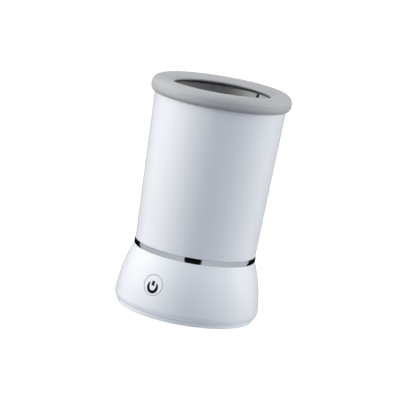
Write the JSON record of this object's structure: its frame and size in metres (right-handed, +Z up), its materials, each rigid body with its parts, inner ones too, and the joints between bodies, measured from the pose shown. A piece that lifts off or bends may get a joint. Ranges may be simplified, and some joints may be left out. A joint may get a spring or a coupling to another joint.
{
  "type": "paw washer cup",
  "caption": "Tapered round cup with a soft rim, a motor-driven sleeve of inward bristles, and a bell-shaped base with a push button.",
  "frame": {"origin": "centre of the underside, in the plane of the foot pads", "axes": "+Z up along the cup's axis; the power button faces -Y and the charging port faces +Y"},
  "size_m": [0.125, 0.125, 0.2],
  "materials": {
    "body_plastic": "satin-gloss white moulding",
    "cover_plastic": "matt white moulding",
    "foot_rubber": "soft grey pad",
    "trim_chrome": "bright plated band",
    "screw_steel": "zinc-plated screw",
    "gearbox_plastic": "dark grey moulding",
    "bush_bronze": "sintered bronze",
    "seal_rubber": "black nitrile",
    "shaft_steel": "ground stainless shaft",
    "gear_acetal": "natural acetal",
    "dog_acetal": "black acetal",
    "washer_acetal": "natural acetal",
    "motor_steel": "plated steel can",
    "end_cap_plastic": "black nylon",
    "magnet_ferrite": "ferrite",
    "armature_iron": "laminated iron core",
    "pinion_brass": "machined brass",
    "cell_sleeve": "printed plastic sleeve over a metal can",
    "cradle_plastic": "black moulding",
    "board_laminate": "green solder mask",
    "component_epoxy": "black epoxy",
    "socket_steel": "nickel-plated shell",
    "port_silicone": "soft white silicone",
    "button_plastic": "satin-gloss white moulding",
    "icon_ink": "black inlay",
    "plunger_plastic": "black plunger",
    "lead_insulation": "insulated copper lead",
    "sleeve_plastic": "pale grey moulding",
    "bristle_silicone": "soft silicone",
    "collar_silicone": "soft silicone, satin"
  },
  "bodies": {
    "base": {"base_shell": "body_plastic", "bottom_cover": "cover_plastic", "foot_pads": "foot_rubber", "trim_ring": "trim_chrome", "cover_screws": "screw_steel", "gearbox_plate": "gearbox_plastic", "gearbox_cover": "gearbox_plastic", "gearbox_screws": "screw_steel", "output_bush": "bush_bronze", "lower_bush": "bush_bronze", "output_seal": "seal_rubber", "gear_axle_first": "shaft_steel", "gear_axle_second": "shaft_steel", "motor_can": "motor_steel", "motor_end_cap": "end_cap_plastic", "motor_magnets": "magnet_ferrite", "motor_screws": "screw_steel", "battery_cell": "cell_sleeve", "battery_cradle": "cradle_plastic", "battery_strap": "cradle_plastic", "protection_board": "board_laminate", "main_board": "board_laminate", "board_components": "component_epoxy", "board_screws": "screw_steel", "usb_socket": "socket_steel", "button_membrane": "seal_rubber", "switch_body": "component_epoxy", "button_board": "board_laminate", "button_board_screws": "screw_steel", "battery_leads": "lead_insulation", "motor_leads": "lead_insulation", "button_leads": "lead_insulation"},
    "cup": {"cup_shell": "body_plastic", "cup_seal_ring": "seal_rubber", "cup_bush": "bush_bronze", "cup_shaft_seal": "seal_rubber"},
    "brush": {"brush_sleeve": "sleeve_plastic", "bristle_liner": "bristle_silicone", "floor_bristles": "bristle_silicone", "driven_shaft": "shaft_steel", "driven_dog": "dog_acetal", "thrust_washer": "washer_acetal", "hub_nut": "sleeve_plastic"},
    "collar": {"rim_collar": "collar_silicone"},
    "output_drive": {"output_gear": "gear_acetal", "output_shaft": "shaft_steel", "drive_dog": "dog_acetal"},
    "second_gear": {"second_reduction_gear": "gear_acetal"},
    "first_gear": {"first_reduction_gear": "gear_acetal"},
    "motor_rotor": {"motor_armature": "armature_iron", "motor_shaft": "shaft_steel", "motor_pinion": "pinion_brass"},
    "button": {"power_button": "button_plastic", "power_icon": "icon_ink", "switch_plunger": "plunger_plastic"},
    "port_flap": {"port_cover": "port_silicone"}
  },
  "joints": [
    {"name": "cup_lift", "type": "slide", "parent": "base", "child": "cup", "axis": [0, 0, 1], "range_m": [0, 0.06]},
    {"name": "brush_spin", "type": "hinge", "parent": "cup", "child": "brush", "pos_m": [0, 0, 0.07], "axis": [0, 0, 1], "continuous": true},
    {"name": "collar_lift", "type": "slide", "parent": "cup", "child": "collar", "axis": [0, 0, 1], "range_m": [0, 0.04]},
    {"name": "output_spin", "type": "hinge", "parent": "base", "child": "output_drive", "pos_m": [0, 0, 0.04], "axis": [0, 0, 1], "continuous": true},
    {"name": "second_gear_spin", "type": "hinge", "parent": "base", "child": "second_gear", "pos_m": [-0.0216, 0, 0.037], "axis": [0, 0, 1], "continuous": true},
    {"name": "first_gear_spin", "type": "hinge", "parent": "base", "child": "first_gear", "pos_m": [-0.0126, 0.01559, 0.034], "axis": [0, 0, 1], "continuous": true},
    {"name": "motor_spin", "type": "hinge", "parent": "base", "child": "motor_rotor", "pos_m": [0.00513, 0.01246, 0.02], "axis": [0, 0, 1], "continuous": true},
    {"name": "button_press", "type": "slide", "parent": "base", "child": "button", "axis": [0, 0.9795, -0.2013], "range_m": [0, 0.001], "stiffness_N_per_m": 400, "springref_m": -0.0005},
    {"name": "port_cover_hinge", "type": "hinge", "parent": "base", "child": "port_flap", "pos_m": [0, 0.06244, 0.0103], "axis": [-1, 0, 0], "range_deg": [0, 110]}
  ],
  "couplings": [
    {"joint": "output_spin", "follows": "brush_spin", "ratio": 1},
    {"joint": "second_gear_spin", "follows": "brush_spin", "ratio": -5},
    {"joint": "first_gear_spin", "follows": "brush_spin", "ratio": 20},
    {"joint": "motor_spin", "follows": "brush_spin", "ratio": -80}
  ]
}
